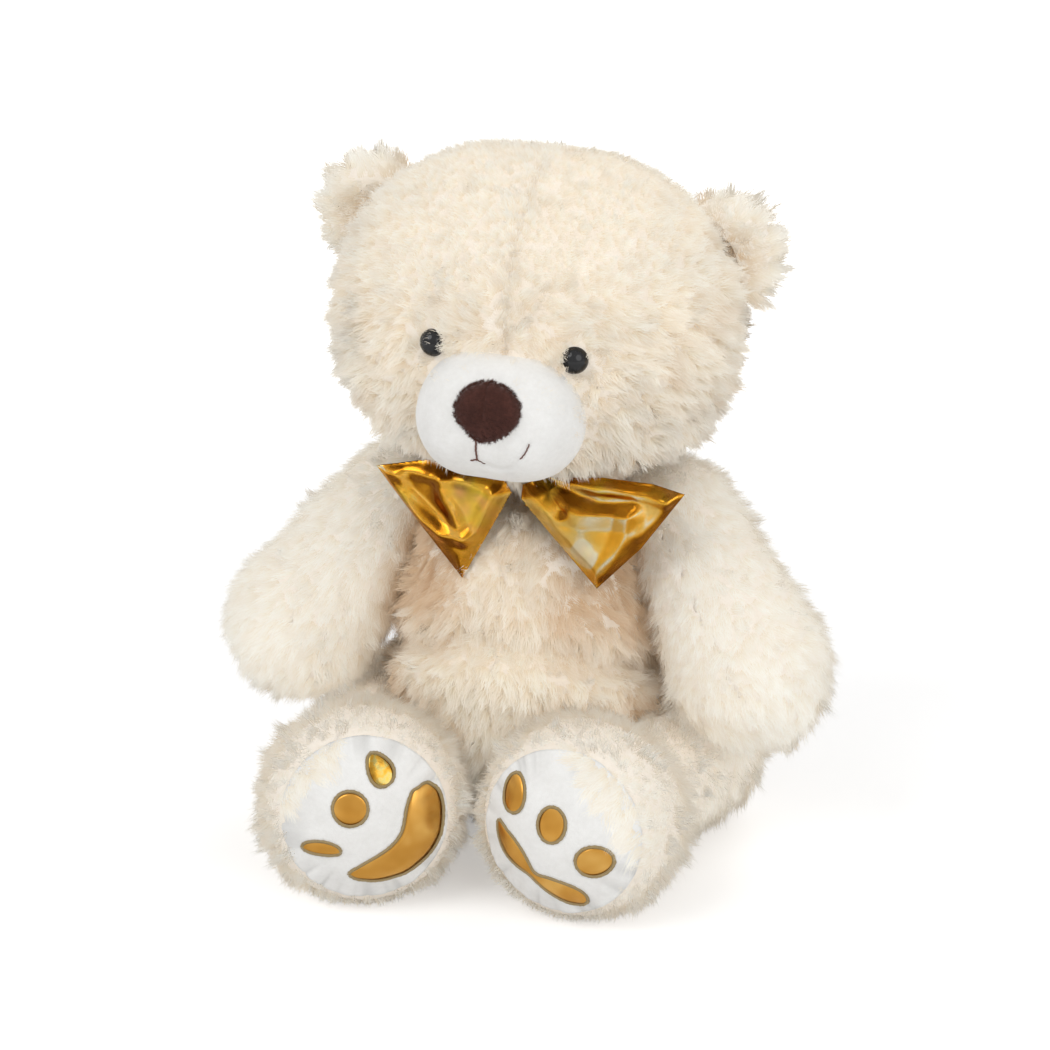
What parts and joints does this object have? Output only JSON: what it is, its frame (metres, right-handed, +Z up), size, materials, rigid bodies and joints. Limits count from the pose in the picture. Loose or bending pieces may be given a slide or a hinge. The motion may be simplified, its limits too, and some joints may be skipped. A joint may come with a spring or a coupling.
{
  "type": "jointed teddy bear",
  "caption": "Long-pile plush teddy bear that sits upright, with a turning head, turning arms and legs, a foil bow and foil paw prints on its soles.",
  "frame": {"origin": "middle of the seat, where the bottom of the torso rests on the floor", "axes": "+Z up, the bear faces -Y, +X is the bear's left"},
  "size_m": [0.338, 0.2648, 0.3772],
  "materials": {
    "fur": "long shaggy cream pile",
    "short_pile": "short white velour pile",
    "nose_velour": "dark brown velour",
    "brown_thread": "satin embroidery thread",
    "rim_thread": "satin stitched rim",
    "eye_plastic": "polished black",
    "gold_foil": "metallic holographic foil on cloth",
    "joint_plastic": "natural moulded plastic",
    "stuffing": "loose polyester fibre fill"
  },
  "bodies": {
    "torso": {"bow_knot": "gold_foil", "bow_loop_left": "gold_foil", "bow_loop_right": "gold_foil", "hip_washers": "joint_plastic", "neck_washer": "joint_plastic", "shoulder_washers": "joint_plastic", "torso_back_left": "fur", "torso_back_right": "fur", "torso_front_left": "fur", "torso_front_right": "fur", "torso_stuffing": "stuffing"},
    "head": {"ear_left_back": "fur", "ear_left_front": "fur", "ear_right_back": "fur", "ear_right_front": "fur", "eye_left": "eye_plastic", "eye_locks": "joint_plastic", "eye_right": "eye_plastic", "head_back": "fur", "head_face_left": "fur", "head_face_right": "fur", "head_stuffing": "stuffing", "mouth_stitching": "brown_thread", "muzzle": "short_pile", "neck_disc": "joint_plastic", "neck_lock": "joint_plastic", "nose": "nose_velour"},
    "arm_left": {"arm_left_inside": "fur", "arm_left_outside": "fur", "arm_left_stuffing": "stuffing", "shoulder_left_disc": "joint_plastic", "shoulder_left_lock": "joint_plastic"},
    "arm_right": {"arm_right_inside": "fur", "arm_right_outside": "fur", "arm_right_stuffing": "stuffing", "shoulder_right_disc": "joint_plastic", "shoulder_right_lock": "joint_plastic"},
    "leg_left": {"hip_left_disc": "joint_plastic", "hip_left_lock": "joint_plastic", "leg_left_inside": "fur", "leg_left_outside": "fur", "leg_left_stuffing": "stuffing", "paw_pad_left": "gold_foil", "paw_stitching_left": "rim_thread", "sole_left": "short_pile", "toe_first_left": "gold_foil", "toe_second_left": "gold_foil", "toe_third_left": "gold_foil"},
    "leg_right": {"hip_right_disc": "joint_plastic", "hip_right_lock": "joint_plastic", "leg_right_inside": "fur", "leg_right_outside": "fur", "leg_right_stuffing": "stuffing", "paw_pad_right": "gold_foil", "paw_stitching_right": "rim_thread", "sole_right": "short_pile", "toe_first_right": "gold_foil", "toe_second_right": "gold_foil", "toe_third_right": "gold_foil"}
  },
  "joints": [
    {"name": "neck_turn", "type": "hinge", "parent": "torso", "child": "head", "pos_m": [0.003, -0.006, 0.2], "axis": [0, 0, 1], "range_deg": [-60, 60]},
    {"name": "shoulder_left_turn", "type": "hinge", "parent": "torso", "child": "arm_left", "pos_m": [0.0616, 0, 0.168], "axis": [-0.9397, 0, -0.342], "range_deg": [0, 38]},
    {"name": "shoulder_right_turn", "type": "hinge", "parent": "torso", "child": "arm_right", "pos_m": [-0.0616, 0, 0.168], "axis": [-0.9397, 0, 0.342], "range_deg": [0, 60]},
    {"name": "hip_left_turn", "type": "hinge", "parent": "torso", "child": "leg_left", "pos_m": [0.072, 0.012, 0.036], "axis": [1, 0, 0], "range_deg": [0, 80]},
    {"name": "hip_right_turn", "type": "hinge", "parent": "torso", "child": "leg_right", "pos_m": [-0.072, 0.012, 0.036], "axis": [1, 0, 0], "range_deg": [0, 80]}
  ]
}
